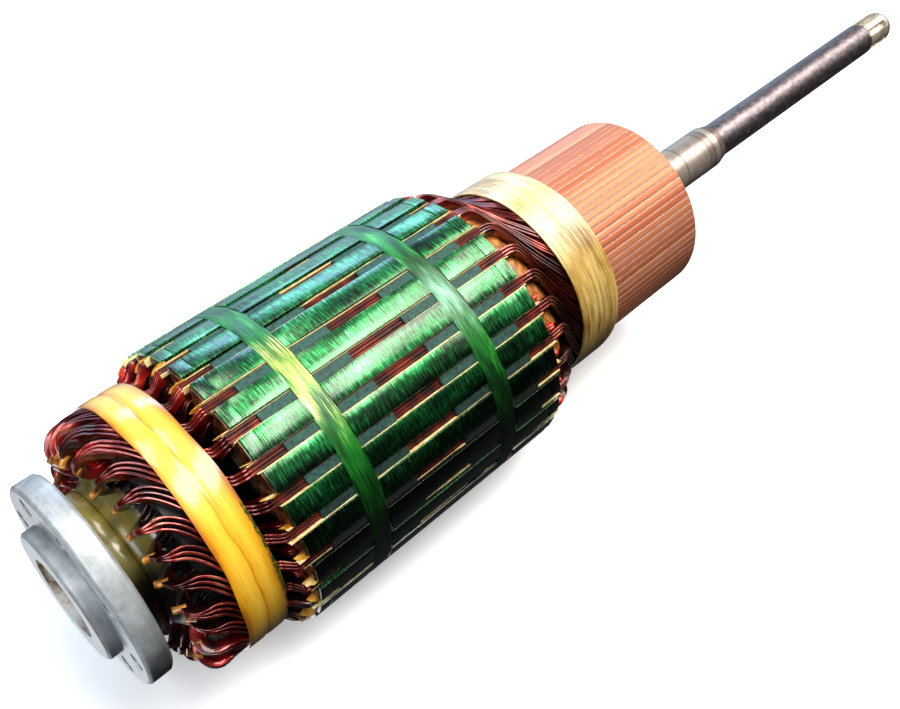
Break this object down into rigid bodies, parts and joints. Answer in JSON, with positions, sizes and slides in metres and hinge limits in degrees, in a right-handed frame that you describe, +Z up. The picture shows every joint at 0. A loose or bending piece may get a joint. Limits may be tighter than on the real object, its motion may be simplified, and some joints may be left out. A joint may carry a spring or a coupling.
{
  "type": "generator armature",
  "caption": "Wound armature of a direct-current generator: slotted core, formed coils under glass bands, copper commutator, drive flange and long splined shaft.",
  "frame": {"origin": "centre of the drive flange's mating face, on the shaft line", "axes": "+X along the shaft from the flange towards the splined tip, +Z up as it lies on its core, Y across"},
  "size_m": [1.14, 0.25, 0.25],
  "materials": {
    "shaft_steel": "satin turned steel, blotchy with age",
    "bright_steel": "bright machined steel with a warm tint",
    "flange_steel": "machined grey steel, stained",
    "olive_paint": "glossy olive insulating paint",
    "insulation_paper": "varnished brown insulating paper",
    "core_varnish": "green varnish over steel laminations",
    "liner_paper": "cream slot liner paper",
    "enamelled_copper": "dark red enamel on copper strand",
    "amber_band": "glossy amber resin over glass tape",
    "wedge_laminate": "grey-green glass laminate",
    "green_band": "translucent green glass band",
    "cream_band": "cream glass tape with fine streaks",
    "commutator_copper": "turned copper, salmon coloured",
    "mica": "pale mica"
  },
  "bodies": {
    "root": {"shaft": "shaft_steel", "spline_end": "bright_steel", "drive_flange": "flange_steel", "hub_sleeve": "olive_paint", "drive_winding_support": "olive_paint", "drive_drum_wrap": "insulation_paper", "drive_layer_packing": "insulation_paper", "core_stack": "core_varnish", "end_pack_drive": "core_varnish", "end_pack_comm": "core_varnish", "end_sheet_drive": "insulation_paper", "end_sheet_comm": "insulation_paper", "slot_liners": "liner_paper", "coil_sides_top": "enamelled_copper", "coil_sides_bottom": "enamelled_copper", "coil_loops": "enamelled_copper", "drive_band": "amber_band", "wedges_drive": "wedge_laminate", "wedges_comm": "wedge_laminate", "core_band_drive": "green_band", "core_band_comm": "green_band", "leads_top": "enamelled_copper", "leads_bottom": "enamelled_copper", "comm_winding_support": "insulation_paper", "comm_drum_wrap": "insulation_paper", "lead_packing": "insulation_paper", "comm_band": "cream_band", "commutator_bars": "commutator_copper", "commutator_mica": "mica", "mica_cone_inner": "mica", "mica_cone_outer": "mica", "commutator_shell": "shaft_steel", "clamp_ring": "shaft_steel", "commutator_nut": "shaft_steel"}
  },
  "joints": []
}
